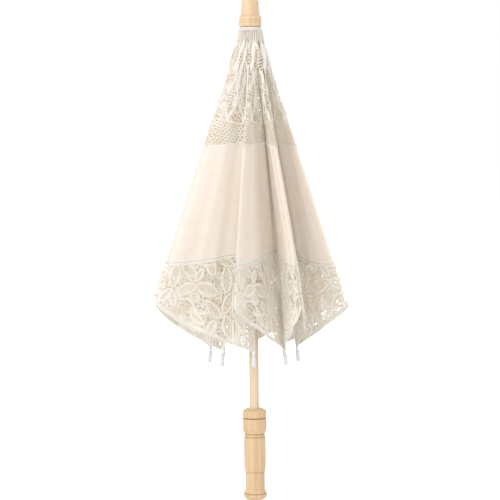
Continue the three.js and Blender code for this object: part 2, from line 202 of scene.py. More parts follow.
def buildWeaveGroup():
    # plain weave: crossed threads with a little unevenness; UV units are tenths of a metre
    group, start, end = newGroup("plainWeave", [
        ("Cloth Map", "NodeSocketVector", None),
        ("Threads", "NodeSocketFloat", 110.0),
        ("Slub", "NodeSocketFloat", 0.4),
    ], [("Height", "NodeSocketFloat"), ("Tone", "NodeSocketFloat")])
    nodes, links = group.nodes, group.links
    waves = []
    for direction in ("X", "Y"):
        wave = nodes.new("ShaderNodeTexWave")
        wave.wave_type = "BANDS"
        wave.bands_direction = direction
        wave.inputs["Distortion"].default_value = 0.6
        wave.inputs["Detail"].default_value = 1.0
        links.new(start.outputs["Cloth Map"], wave.inputs["Vector"])
        links.new(start.outputs["Threads"], wave.inputs["Scale"])
        waves.append(wave.outputs["Fac"])
    cross = mathNode(nodes, links, "MAXIMUM", waves[0], waves[1])
    noise = nodes.new("ShaderNodeTexNoise")
    noise.inputs["Scale"].default_value = 9.0
    noise.inputs["Detail"].default_value = 5.0
    noise.inputs["Roughness"].default_value = 0.65
    links.new(start.outputs["Cloth Map"], noise.inputs["Vector"])
    slub = mathNode(nodes, links, "MULTIPLY", noise.outputs["Fac"], start.outputs["Slub"])
    links.new(mathNode(nodes, links, "ADD", cross, slub), end.inputs["Height"])
    links.new(noise.outputs["Fac"], end.inputs["Tone"])
    return group


def buildGrainGroup():
    # soft streaks along Z, and the fine rings that turning leaves
    group, start, end = newGroup("woodGrain", [
        ("Vector", "NodeSocketVector", None),
        ("Stretch", "NodeSocketFloat", 0.06),
        ("Streaks", "NodeSocketFloat", 260.0),
    ], [("Streak", "NodeSocketFloat"), ("Lathe", "NodeSocketFloat")])
    nodes, links = group.nodes, group.links
    squeeze = nodes.new("ShaderNodeCombineXYZ")
    squeeze.inputs["X"].default_value = 1.0
    squeeze.inputs["Y"].default_value = 1.0
    links.new(start.outputs["Stretch"], squeeze.inputs["Z"])
    scaled = nodes.new("ShaderNodeVectorMath")
    scaled.operation = "MULTIPLY"
    links.new(start.outputs["Vector"], scaled.inputs[0])
    links.new(squeeze.outputs[0], scaled.inputs[1])
    streak = nodes.new("ShaderNodeTexNoise")
    streak.inputs["Detail"].default_value = 5.0
    streak.inputs["Roughness"].default_value = 0.6
    links.new(scaled.outputs[0], streak.inputs["Vector"])
    links.new(start.outputs["Streaks"], streak.inputs["Scale"])
    rings = nodes.new("ShaderNodeTexWave")
    rings.wave_type = "BANDS"
    rings.bands_direction = "Z"
    rings.inputs["Scale"].default_value = 260.0
    rings.inputs["Distortion"].default_value = 1.5
    rings.inputs["Detail"].default_value = 2.0
    links.new(start.outputs["Vector"], rings.inputs["Vector"])
    links.new(streak.outputs["Fac"], end.inputs["Streak"])
    both = mathNode(nodes, links, "MULTIPLY_ADD", rings.outputs["Fac"], 0.4, streak.outputs["Fac"])
    links.new(both, end.inputs["Lathe"])
    return group


def placeGroup(nodes, group, **values):
    node = nodes.new("ShaderNodeGroup")
    node.node_tree = group
    for key, value in values.items():
        node.inputs[key].default_value = value
    return node


def mixColors(nodes, links, factor, first, second):
    mix = nodes.new("ShaderNodeMix")
    mix.data_type = "RGBA"
    links.new(factor, mix.inputs["Factor"])
    for slot, value in ((6, first), (7, second)):
        if isinstance(value, tuple):
            mix.inputs[slot].default_value = (*value, 1.0)
        else:
            links.new(value, mix.inputs[slot])
    return mix.outputs[2]


def addBump(nodes, links, shader, height, strength, distance):
    bump = nodes.new("ShaderNodeBump")
    bump.inputs["Strength"].default_value = strength
    bump.inputs["Distance"].default_value = distance
    links.new(height, bump.inputs["Height"])
    links.new(bump.outputs["Normal"], shader.inputs["Normal"])


def clothMaterial(name, weave, light, deep, glow, sheer, threads, roughness, sheen, bump, ground=None):
    # glow is the colour of the light that comes through the cloth, sheer how much of it does,
    # ground a darker colour, painted shade on the lace that lies lower than its raised tapes
    material, nodes, links, shader = newMaterial(name, roughness, sheen=sheen, specular=0.25)
    uvMap = nodes.new("ShaderNodeUVMap")
    uvMap.uv_map = "clothMap"
    group = placeGroup(nodes, weave, Threads=threads, Slub=0.5)
    links.new(uvMap.outputs["UV"], group.inputs["Cloth Map"])
    ramp = nodes.new("ShaderNodeMapRange")
    ramp.inputs["From Min"].default_value = 0.35
    ramp.inputs["From Max"].default_value = 0.65
    links.new(group.outputs["Tone"], ramp.inputs["Value"])
    color = mixColors(nodes, links, ramp.outputs["Result"], deep, light)
    # painted shade: where the raised mask is low, the lace takes the darker ground colour
    if ground:
        raised = nodes.new("ShaderNodeAttribute")
        raised.attribute_name = "raised"
        color = mixColors(nodes, links, raised.outputs["Fac"], ground, color)
    links.new(color, shader.inputs["Base Color"])
    addBump(nodes, links, shader, group.outputs["Height"], bump, 0.0002)
    through = nodes.new("ShaderNodeBsdfTranslucent")
    through.inputs["Color"].default_value = (*glow, 1.0)
    mix = nodes.new("ShaderNodeMixShader")
    mix.inputs[0].default_value = sheer
    links.new(shader.outputs[0], mix.inputs[1])
    links.new(through.outputs[0], mix.inputs[2])
    links.new(mix.outputs[0], nodes["Material Output"].inputs["Surface"])
    return material


def woodMaterial(name, grain, light, deep, roughness, coat, streaks):
    material, nodes, links, shader = newMaterial(name, roughness, coat=coat, specular=0.4)
    place = nodes.new("ShaderNodeTexCoord")
    group = placeGroup(nodes, grain, Streaks=streaks)
    links.new(place.outputs["Object"], group.inputs["Vector"])
    contrast = nodes.new("ShaderNodeMapRange")
    contrast.inputs["From Min"].default_value = 0.4
    contrast.inputs["From Max"].default_value = 0.66
    links.new(group.outputs["Streak"], contrast.inputs["Value"])
    color = mixColors(nodes, links, contrast.outputs["Result"], light, deep)
    # painted shade: the mask darkens the wood in its grooves, at its steps and under the ferrule
    paintedShade = nodes.new("ShaderNodeAttribute")
    paintedShade.attribute_name = "paintedShade"
    color = mixColors(nodes, links, paintedShade.outputs["Fac"], color, tuple(0.42 * v for v in deep))
    links.new(color, shader.inputs["Base Color"])
    rough = nodes.new("ShaderNodeMapRange")
    rough.inputs["To Min"].default_value = roughness - 0.08
    rough.inputs["To Max"].default_value = roughness + 0.12
    links.new(group.outputs["Streak"], rough.inputs["Value"])
    links.new(rough.outputs["Result"], shader.inputs["Roughness"])
    addBump(nodes, links, shader, group.outputs["Lathe"], 0.3, 0.0002)
    shader.inputs["Coat Roughness"].default_value = 0.3
    return material


def metalMaterial(name, light, deep, roughness, metallic):
    material, nodes, links, shader = newMaterial(name, roughness, metallic=metallic)
    place = nodes.new("ShaderNodeTexCoord")
    noise = nodes.new("ShaderNodeTexNoise")
    noise.inputs["Scale"].default_value = 140.0
    noise.inputs["Detail"].default_value = 4.0
    links.new(place.outputs["Object"], noise.inputs["Vector"])
    color = mixColors(nodes, links, noise.outputs["Fac"], deep, light)
    links.new(color, shader.inputs["Base Color"])
    rough = nodes.new("ShaderNodeMapRange")
    rough.inputs["To Min"].default_value = roughness - 0.07
    rough.inputs["To Max"].default_value = roughness + 0.12
    links.new(noise.outputs["Fac"], rough.inputs["Value"])
    links.new(rough.outputs["Result"], shader.inputs["Roughness"])
    addBump(nodes, links, shader, noise.outputs["Fac"], 0.15, 0.0002)
    return material


weave = buildWeaveGroup()
grain = buildGrainGroup()
warmGlow = (0.97, 0.88, 0.76)
cotton = clothMaterial("creamCotton", weave, (0.96, 0.90, 0.83), (0.93, 0.85, 0.77), warmGlow, 0.2,
                       95.0, 0.88, 0.2, 0.35)
# the lace's ground colour is painted shade for its lower net and holes
lace = clothMaterial("ivoryLace", weave, (0.98, 0.96, 0.91), (0.94, 0.91, 0.84), warmGlow, 0.2,
                     60.0, 0.85, 0.15, 0.8, ground=(0.89, 0.80, 0.67))
sprigThread = clothMaterial("sprigThread", weave, (0.97, 0.92, 0.84), (0.93, 0.86, 0.77), warmGlow, 0.15,
                            80.0, 0.85, 0.15, 0.5)
tapeCloth = clothMaterial("ivoryTape", weave, (0.98, 0.96, 0.92), (0.95, 0.92, 0.86), warmGlow, 0.12,
                          70.0, 0.8, 0.15, 0.6)
handleWood = woodMaterial("handleWood", grain, (0.71, 0.51, 0.31), (0.63, 0.42, 0.23), 0.45, 0.2, 260.0)
shaftWood = woodMaterial("shaftWood", grain, (0.76, 0.61, 0.45), (0.69, 0.52, 0.35), 0.5, 0.05, 300.0)
ferruleWood = woodMaterial("ferruleWood", grain, (0.76, 0.56, 0.36), (0.68, 0.46, 0.27), 0.45, 0.2, 240.0)
enamel = metalMaterial("whiteEnamel", (0.78, 0.77, 0.75), (0.68, 0.67, 0.66), 0.35, 0.1)
steel = metalMaterial("plainSteel", (0.62, 0.62, 0.63), (0.5, 0.5, 0.51), 0.3, 1.0)
tipWhite = metalMaterial("whiteTip", (0.74, 0.75, 0.76), (0.62, 0.64, 0.66), 0.3, 0.0)
print("materials ready")


def finishNode(node, material):
    frame["nodes"][node].material_slots[0].material = material


handleSizes = {
    "foot": 15.3,               # radii, from the bottom up
    "neck": 12.75,
    "barrel": 14.2,
    "cup": 15.8,
    "ring": 15.7,
    "footTop": 5.4,             # heights, from the bottom up
    "footGroove": 8.3,
    "neckStart": 14.4,
    "stepLine": 36.4,
    "barrelStart": 45,
    "fineGrooves": (83.0, 86.6),
    "cupStart": 97,
    "ringGroove": 107.6,
}


def grooveOutline(radius, height, depth, width):
    # a rounded groove in a turned surface
    bed = radius - 0.8 * depth
    return [(radius, height - width / 2), (bed, height - width / 5), (radius - depth, height),
            (bed, height + width / 5), (radius, height + width / 2)]


def makeHandle():
    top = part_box("handle")[1].z / mm
    sizes = handleSizes
    foot, neck, barrel, cup, ring = (sizes[key] for key in ("foot", "neck", "barrel", "cup", "ring"))
    footGroove, step, ringGroove = (sizes[key] for key in ("footGroove", "stepLine", "ringGroove"))
    neckStart, barrelStart, cupStart = (sizes[key] for key in ("neckStart", "barrelStart", "cupStart"))
    low, high = sizes["fineGrooves"]
    outline = [(0, 0), (foot - 4.2, 0)]
    outline += arcPoints((foot - 3.6, 0.15), (foot, sizes["footTop"]), 0.9, 8)
    outline += grooveOutline(foot, footGroove, 0.9, 1.4)
    outline += arcPoints((foot - 0.3, footGroove + 1.3), (neck + 0.3, neckStart), -0.7, 8)
    outline += arcPoints((neck, neckStart + 1), (neck, step - 0.6), -0.1, 8)
    outline += [(neck - 0.35, step - 0.1), (neck + 0.4, step + 0.5)]
    outline += arcPoints((neck + 0.5, step + 0.9), (barrel - 0.1, barrelStart), 0.25)
    outline += arcPoints((barrel, barrelStart + 1), (barrel + 0.1, low - 1.2), 0.1, 8)
    outline += grooveOutline(barrel - 0.4, low, 0.9, 1.5)
    outline += arcPoints((barrel - 0.7, low + 1.0), (barrel - 0.9, high - 1.0), 0.15, 4)
    outline += grooveOutline(barrel - 0.9, high, 0.9, 1.5)
    outline += arcPoints((barrel - 0.3, high + 1.0), (cup, cupStart), 0.55, 8)
    outline += arcPoints((cup, cupStart + 1), (cup - 0.1, ringGroove - 1.2), 0.1)
    outline += grooveOutline(ring - 0.2, ringGroove, 1.2, 1.8)
    outline += arcPoints((ring - 0.1, ringGroove + 1.2), (ring - 0.1, top - 6), 0.2)
    outline += arcPoints((ring - 0.3, top - 5.2), (ring - 4.0, top - 0.7), 1.6, 8)
    outline += [(ring - 5, top - 0.1), (ring - 5.6, top), (0, top)]
    # painted shade in the ring groove, the fine grooves, the neck's step and the foot groove
    shadeBands = [(ringGroove, 0.9, 0.75), (low, 0.4, 0.6), (high, 0.4, 0.6), (step, 0.45, 0.6),
             (footGroove, 0.45, 0.7)]
    piece = turnedPiece("handleTurned", outline, handleWood, 112, shadeBands)
    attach(piece, "shaft")
    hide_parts("handle")


ferruleSizes = {"collar": 14.4, "spindle": 11.0, "flare": 0.9, "collarHeight": 14.6, "grooves": (5.6, 8.8)}


def makeFerrule():
    low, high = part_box("ferrule")
    base, top = low.z / mm, high.z / mm
    collar, spindle, flare = (ferruleSizes[key] for key in ("collar", "spindle", "flare"))
    shoulder = base + ferruleSizes["collarHeight"]
    lower, upper = (base + height for height in ferruleSizes["grooves"])
    outline = [(0, base), (collar - 1.6, base)]
    outline += arcPoints((collar - 1.2, base + 0.1), (collar, base + 2.0), 0.3, 6)
    outline += grooveOutline(collar, lower, 0.35, 0.9)
    outline += grooveOutline(collar - 0.1, upper, 0.35, 0.9)
    outline += arcPoints((collar - 0.3, upper + 1.8), (spindle + flare + 0.5, shoulder), 0.6, 8)
    outline += [(spindle + flare + 0.1, shoulder + 0.6)]
    outline += arcPoints((spindle + flare, shoulder + 1.2), (spindle, top - 2), -0.25, 8)
    outline += arcPoints((spindle - 0.1, top - 1.4), (spindle - 1.4, top), 0.3, 5)
    outline += [(0, top)]
    # painted shade in the two grooves, along the underside and in the corner above the shoulder
    shadeBands = [(lower, 0.3, 0.4), (upper, 0.3, 0.4), (base, 0.5, 0.7), (shoulder + 0.6, 0.25, 0.5)]
    piece = turnedPiece("ferruleTurned", outline, ferruleWood, 112, shadeBands)
    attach(piece, "shaft")
    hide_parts("ferrule")


tipSizes = {"length": 15.0, "head": 2.75, "waist": 2.45}


def makeTips():
    # white caps, a little waisted, with a rounded end
    length, head, waist = (tipSizes[key] for key in ("length", "head", "waist"))
    outline = [(0, 0), (1.5, 0)]
    outline += arcPoints((1.7, 0.1), (head, 2.2), 0.35, 5)
    outline += arcPoints((head, 3), (waist, length - 0.8), -0.1, 6)
    outline += [(waist - 0.15, length - 0.1), (waist - 0.65, length), (0, length)]
    for number, line in ribLines.items():
        piece = turnedPiece(f"ribTip_{number}", outline, tipWhite, 32)
        turn = Vector((0, 0, 1)).rotation_difference(Vector(-line["along"])).to_matrix().to_4x4()
        place = Matrix.Translation(Vector(line["foot"] + line["along"] * line["reach"]))
        piece.data.transform(place @ turn)
        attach(piece, f"rib_{number}")
        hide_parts(f"rib_tip_{number}")


def readRib(number):
    hinge = joints[f"rib_{number}"]
    foot = np.array(hinge["pos_m"])
    along = np.array(joints[f"gore_{number}_left"]["axis"])
    axis = np.array(hinge["axis"])
    points = np.array([v.co for v in frame["nodes"][f"rib_tip_{number}"].data.vertices])
    reach = ((points - foot) @ along).max()
    return {"foot": foot, "along": along, "out": np.cross(axis, along), "side": -axis, "reach": reach}


def readPanel(name):
    # a panel's own axes: along its rib, across to the fold, and the outer face's normal
    joint = joints[name]
    foot, along = np.array(joint["pos_m"]), np.array(joint["axis"])
    offsets = np.array([v.co for v in frame["nodes"][name].data.vertices]) - foot
    run = offsets @ along
    off = offsets - np.outer(run, along)
    width = np.linalg.norm(off, axis=1)
    corner = np.argmax(width)
    across = off[corner] / width[corner]
    foldCorner = foot + along * run[corner] + across * (width[corner] + 1 * mm)
    return {"foot": foot, "along": along, "foldCorner": foldCorner, "offsets": offsets, "hemAtRib": run.max()}


def settlePanel(panel, foldCorner, hubOff):
    offset = foldCorner - panel["foot"]
    panel["foldAlong"] = offset @ panel["along"]
    across = offset - panel["foldAlong"] * panel["along"]
    panel["foldOff"] = np.linalg.norm(across)
    panel["across"] = across / panel["foldOff"]
    normal = np.cross(panel["along"], panel["across"])
    panel["outer"] = normal if (panel["offsets"] @ normal).mean() > 0 else -normal
    panel["hubOff"] = hubOff
    panel["hubPoint"] = panel["foot"] + panel["across"] * hubOff


def readGore(number):
    left, right = readPanel(f"gore_{number}_left"), readPanel(f"gore_{number}_right")
    corner = (left["foldCorner"] + right["foldCorner"]) / 2
    hubOff = np.linalg.norm(left["foot"] - right["foot"]) / 2
    for panel in (left, right):
        settlePanel(panel, corner, hubOff)
    hub = (left["hubPoint"] + right["hubPoint"]) / 2
    spread = 0
    for panel in (left, right):
        panel["hubShift"] = hub - panel["hubPoint"]
        spread += math.atan2(panel["foldOff"] - hubOff, panel["foldAlong"]) / 2
    left["mirror"], right["mirror"] = -1.0, 1.0
    flapNormal = unit(right["outer"] - left["outer"])
    for panel in (left, right):
        panel["spread"] = spread
        panel["flapNormal"] = flapNormal
        panel["gore"] = number
    return {"left": left, "right": right}


ribLines = {number: readRib(number) for number in range(1, goreCount + 1)}
gores = {number: readGore(number) for number in range(1, goreCount + 1)}

canopySizes = {
    "laceStart": 4 * mm,        # upper lace, from the notch down each rib
    "upperSeamRib": 144 * mm,   # seams: distance from the notch along a rib, and share of the fold's length
    "upperSeamFold": 0.428,
    "lowerSeamRib": 284 * mm,
    "lowerSeamFold": 0.855,
    "hemCurve": 0.8,
    "puff": 3.2 * mm,           # how far each panel swells outwards
    "sway": 5.5 * mm,           # slow wave that both panels of a flap share
    "crease": 1.3 * mm,         # soft folds running down the cloth
    "swayTurns": 4.2,
    "creases": 2.3,
    "fineCreases": 5.2,
    "nose": 1.3 * mm,           # roundness of the folded edge
    "noseReach": 5 * mm,
    "noseFade": 22 * mm,
    "noseEase": 9 * mm,
    "ribEase": 2.5 * mm,        # how soon the pleats start beside the rib and end before the fold
    "foldEase": 2 * mm,
    "ribClear": 1.6 * mm,       # cloth, and the tapes on it, start this far off the rib's line
    "tapeClear": 1.7 * mm,
    "hubPleat": 0.9 * mm,       # small pleats where the lace is gathered under the ferrule
    "hubPleats": 4,
    "hubPleatReach": 85 * mm,
    "tipPleat": 1.5 * mm,       # and where it is drawn in along the ribs above the tips
    "tipPleatPitch": 3.6 * mm,
    "tipPleatStart": 318 * mm,
    "tipPleatOnset": 40 * mm,
    "tipPleatReach": 28 * mm,
    "valley": 3.5 * mm,         # fullness beside a rib, which makes the valley there narrow and deep
    "valleyOff": 9 * mm,
    "valleyWidth": 6 * mm,
    "valleyEase": 4 * mm,
    "valleyRun": 190 * mm,
    "valleyReach": 85 * mm,
    "hubPuff": 5 * mm,          # fullness of the gathered lace just under the ferrule
    "hubPuffRun": 30 * mm,
    "hubPuffReach": 20 * mm,
    "hubPuffEase": 3.5 * mm,
}


def foldWidth(panel, run):
    return panel["hubOff"] + (panel["foldOff"] - panel["hubOff"]) * run / panel["foldAlong"]


def onPanel(panel, run, off, lift=0.0):
    # a place on the hanging cloth: run along the rib, off across from it, lifted off the outer face
    sizes = canopySizes
    width = foldWidth(panel, run)
    toFold = width - off
    share = np.clip(off / width, 0, 1)
    fromFoldShare = 1 - share
    down = run / panel["foldAlong"]
    phase = panel["gore"] * 2.4
    body = np.sin(math.pi * share)
    swell = sizes["puff"] * body * np.clip(down, 0, 1.1) * (1 + 0.3 * math.sin(phase * 1.7))
    fromFold = np.clip(toFold / sizes["noseReach"], 0, 1)
    nose = sizes["nose"] * np.sqrt(1 - (1 - fromFold) ** 2) * np.clip(down * 4, 0, 1)
    nose = nose * np.exp(-np.clip(toFold - sizes["noseReach"], 0, None) / sizes["noseFade"])
    nose = nose * smoothStep(off / sizes["noseEase"])
    sway = sizes["sway"] * body * down * np.sin(sizes["swayTurns"] * down + phase)
    wander = 0.25 * np.sin(3.1 * down + phase)
    creases = np.sin(2 * math.pi * (sizes["creases"] * fromFoldShare + wander) + phase)
    small = np.sin(2 * math.pi * (sizes["fineCreases"] * fromFoldShare + 0.4 * down) + 2 * phase)
    crease = sizes["crease"] * body * down * (creases + 0.3 * small)
    edges = smoothStep(off / sizes["ribEase"]) * smoothStep(toFold / sizes["foldEase"])
    hubPleat = sizes["hubPleat"] * np.exp(-(run / sizes["hubPleatReach"]) ** 2)
    hubPleat = hubPleat * np.sin(2 * math.pi * sizes["hubPleats"] * share + phase)
    gathered = smoothStep((run - sizes["tipPleatStart"]) / sizes["tipPleatOnset"])
    gathered = gathered * np.exp(-off / sizes["tipPleatReach"])
    tipPleat = sizes["tipPleat"] * gathered * np.sin(2 * math.pi * off / sizes["tipPleatPitch"] + phase)
    fullness = np.exp(-((run - sizes["hubPuffRun"]) / sizes["hubPuffReach"]) ** 2)
    fullness = fullness * smoothStep(off / sizes["hubPuffEase"])
    hubPuff = sizes["hubPuff"] * fullness * smoothStep(toFold / sizes["foldEase"])
    besideRib = np.exp(-((off - sizes["valleyOff"]) / sizes["valleyWidth"]) ** 2)
    besideRib = besideRib * smoothStep(off / sizes["valleyEase"])
    valley = sizes["valley"] * besideRib * np.exp(-((run - sizes["valleyRun"]) / sizes["valleyReach"]) ** 2)
    valley = valley * max(panel["mirror"], 0)  # on the right-hand panels only
    outwards = swell + nose + lift + hubPuff + valley + edges * (hubPleat + tipPleat)
    shift = (share ** 2 * (1 - down))[:, None] * panel["hubShift"]
    place = panel["foot"] + run[:, None] * panel["along"] + off[:, None] * panel["across"] + shift
    place = place + outwards[:, None] * panel["outer"]
    return place + (sway + crease)[:, None] * panel["flapNormal"]


def flatPlace(panel, run, off):
    # the same place on the gore laid out flat, middle line along Y
    half = panel["spread"]
    sideways = panel["hubOff"] + run * math.sin(half) - off * math.cos(half)
    return np.stack([panel["mirror"] * sideways, run * math.cos(half) + off * math.sin(half)], -1)


def seamRun(panel, ribRun, foldShare, share):
    # distance along the rib of a seam, at a share of the way from rib to fold
    return ribRun + (foldShare * panel["foldAlong"] - ribRun) * np.sin(share * math.pi / 2) ** 1.3


def hemRun(panel, share):
    atRib = panel["hemAtRib"]
    dip = 1 - (1 - share) ** canopySizes["hemCurve"]
    return atRib - (atRib - panel["foldAlong"]) * dip


def zoneRun(panel, edge, share):
    sizes = canopySizes
    if edge == "start":
        return np.full_like(share, sizes["laceStart"])
    if edge == "upper":
        return seamRun(panel, sizes["upperSeamRib"], sizes["upperSeamFold"], share)
    if edge == "lower":
        return seamRun(panel, sizes["lowerSeamRib"], sizes["lowerSeamFold"], share)
    return hemRun(panel, share)


def zoneGrid(panel, top, bottom, columns, rows):
    # run and off for a grid over one zone; share goes from the rib to the fold
    share = np.linspace(0, 1, columns)[None, :].repeat(rows, 0)
    v = np.linspace(0, 1, rows)[:, None].repeat(columns, 1)
    first = zoneRun(panel, top, share[0])
    last = zoneRun(panel, bottom, share[0])
    run = first + (last - first) * v
    off = np.maximum(share * foldWidth(panel, run), canopySizes["ribClear"])
    return run, off, v, last - first


def orient(panel, faces):
    # faces wound so that they look outwards
    normal = np.cross(panel["across"], panel["along"])
    return faces if normal @ panel["outer"] > 0 else faces[:, ::-1]


print("canopy laid out")


cottonSizes = {"rows": 56, "columns": 40}


def makeCotton(number, side):
    # a panel's cotton band, with its width, length and area when it lies flat
    panel = gores[number][side]
    rows, columns = cottonSizes["rows"], cottonSizes["columns"]
    run, off = zoneGrid(panel, "upper", "lower", columns, rows)[:2]
    points = onPanel(panel, run.ravel(), off.ravel())
    name = f"cotton_{number}_{side}"
    piece = newPiece(name, points, [orient(panel, gridFaces(rows, columns))], cotton)
    flat = flatPlace(panel, run.ravel(), off.ravel())
    addUv(piece, flat)
    cell = flat.reshape(rows, columns, 2)
    a, b = cell[1:, :-1] - cell[:-1, :-1], cell[:-1, 1:] - cell[:-1, :-1]
    area = float(np.abs(a[..., 0] * b[..., 1] - a[..., 1] * b[..., 0]).sum())
    width, length = (float(reach) for reach in np.ptp(flat, axis=0))
    return piece, (width, length), area


def turnedPlace(x, y, centre, angle):
    c, s = math.cos(angle), math.sin(angle)
    dx, dy = x - centre[0], y - centre[1]
    return dx * c + dy * s, -dx * s + dy * c


def loopField(x, y, centre, angle, length, width, tape):
    # a tape bent round into a leaf shape: the tape, and how far inside the leaf a place is
    u, w = turnedPlace(x, y, centre, angle)
    reach = np.clip(1 - (2 * u / length) ** 2, 0, None)
    edge = width / 2 * np.sqrt(reach) * (0.72 + 0.28 * reach)
    inside = np.where(np.abs(u) < length / 2, edge - np.abs(w), length / 2 - np.hypot(np.abs(u), w))
    return tape / 2 - np.abs(inside - tape / 2), inside


def ringField(x, y, centre, radius, width):
    return width / 2 - np.abs(np.hypot(x - centre[0], y - centre[1]) - radius)


def stripField(x, y, centre, angle, size, bend, width):
    # a tape lying in an S
    u, w = turnedPlace(x, y, centre, angle)
    turn = u / size * math.pi * 1.6
    slope = bend * math.pi * 1.6 / size * np.cos(turn)
    distance = np.abs(w - bend * np.sin(turn)) / np.sqrt(1 + slope ** 2)
    return np.minimum(width / 2 - distance, size - np.abs(u))


cellSpots = np.random.default_rng(7).uniform(0.12, 0.88, (2, 64, 64))


def netField(x, y, pitch, thread):
    # irregular meshes of thread, each about one pitch across
    gx, gy = x / pitch, y / pitch
    cellX, cellY = np.floor(gx).astype(int), np.floor(gy).astype(int)
    nearest = np.full(x.shape, 9.0)
    second = np.full(x.shape, 9.0)
    for stepX in (-1, 0, 1):
        for stepY in (-1, 0, 1):
            i, j = cellX + stepX, cellY + stepY
            spotX = i + cellSpots[0, i % 64, j % 64]
            spotY = j + cellSpots[1, i % 64, j % 64]
            distance = np.hypot(gx - spotX, gy - spotY)
            second = np.minimum(second, np.maximum(distance, nearest))
            nearest = np.minimum(nearest, distance)
    return thread / 2 - (second - nearest) * pitch / 2


def holesField(x, y, pitch, hole):
    # cloth-like ground with rows of round holes; hole is the radius at each place
    row = np.round(y / (pitch * 0.87))
    shifted = x - np.where(row % 2 == 0, 0, pitch / 2)
    dx = shifted - pitch * np.round(shifted / pitch)
    return np.hypot(dx, y - row * pitch * 0.87) - hole


borderSizes = {
    "arcAt": 340,               # the pattern is drawn as it lies this far from the hub
    "tape": 3.6,
    "ring": 2.4,
    "strip": 3.6,
    "hemTape": 4.0,
    "topTape": 2.6,
    "ribTape": 1.8,
    "clusters": (10.5, 11.5),   # size of the closer patches of net, across and down
    "netPitch": 5.4,
    "thread": 1.05,
    "threadSwell": 0.6,
    "fillPitch": 3.4,
    "fillHole": 0.95,
    # centre across the half gore, distance from the hub, turn, length and width of each leaf
    "leaves": [
        (0, 331, 1.57, 30, 17), (17, 318, 0.35, 28, 15), (21, 342, -0.55, 30, 15),
        (46, 306, 1.1, 32, 16), (47, 338, 0.2, 34, 18), (58, 362, 0.75, 30, 15),
        (72, 322, 1.45, 36, 17), (76, 352, 1.9, 32, 15), (92, 338, 1.35, 34, 14),
        (78, 382, 1.35, 34, 15), (95, 368, 1.62, 34, 13), (94, 402, 1.5, 32, 13),
        (70, 300, 0.3, 26, 13), (93, 305, 1.2, 30, 14), (33, 322, 2.0, 20, 11),
        (5, 358, 1.1, 24, 12), (58, 386, 1.9, 26, 12), (8, 300, 1.2, 22, 11),
        (60, 292, 1.7, 20, 10), (108, 350, 1.5, 30, 12), (40, 376, 0.6, 24, 11),
    ],
    "rings": [(33, 350, 5.0), (62, 343, 4.6), (84, 310, 4.4), (60, 318, 4.0), (88, 322, 3.6), (84, 365, 4.0)],
    "strips": [(34, 362, 0.35, 28, 4.0), (88, 388, 1.5, 30, 3.0), (30, 304, 0.2, 24, 3.0)],
}


def borderField(x, y, fromTop, fromHem, fromRib):
    # leaves, rings and strips of tape on a net, with plain tape round the edges
    sizes = borderSizes
    polar = np.hypot(x, y)
    arc = np.arctan2(np.abs(x), y) * sizes["arcAt"]
    motif = np.full(x.shape, -9.0)
    inside = np.full(x.shape, -9.0)
    for across, away, turn, length, width in sizes["leaves"]:
        tape, within = loopField(arc, polar, (across, away), turn, length, width, sizes["tape"])
        motif = np.maximum(np.where(within > 0, -9.0, motif), tape)
        inside = np.maximum(inside, within)
    for across, away, radius in sizes["rings"]:
        motif = np.maximum(motif, ringField(arc, polar, (across, away), radius, sizes["ring"]))
        inside = np.maximum(inside, radius - np.hypot(arc - across, polar - away))
    for across, away, turn, size, bend in sizes["strips"]:
        strip = stripField(arc, polar, (across, away), turn, size, bend, sizes["strip"])
        motif = np.maximum(motif, strip)
    fill = holesField(arc, polar, sizes["fillPitch"], sizes["fillHole"])
    wide, tall = sizes["clusters"]
    clusters = 0.5 + 0.5 * np.sin(arc / wide + 1.1) * np.sin(polar / tall + 0.4)
    thread = sizes["thread"] + sizes["threadSwell"] * smoothStep(1 - 2 * clusters)
    net = netField(arc, polar, sizes["netPitch"], thread)
    ground = np.where(inside > 0, fill, net)
    tape = np.maximum.reduce([sizes["hemTape"] - fromHem, sizes["topTape"] - fromTop,
                              sizes["ribTape"] - fromRib])
    return motif, ground, tape


upperSizes = {
    "halfAngle": 0.306,         # half a gore, laid out flat
    "lanes": (0.06, 0.36, 0.66, 0.94),
    "swing": 0.115,
    "swingLength": 8.5,
    "laneTape": 0.75,           # half a tape's width at the hub, and its growth with the distance
    "laneGrowth": 0.0085,
    "petals": ((66, 24), (96, 30)),
    "petalTape": 2.0,
    "bars": 3.9,
    "barWidth": 0.42,
    "netWide": 30,
    "netPitch": 4.3,
    "netThread": 1.0,
    "netFrom": 121.0,           # the pierced band: where it starts, and its holes
    "squaresAt": 128,
    "squarePitch": 4.2,
    "squareHole": 1.0,
    "hemTape": 2.2,
    "topTape": 1.0,
    "ribTape": 1.4,
    "bandTape": 1.3,
}


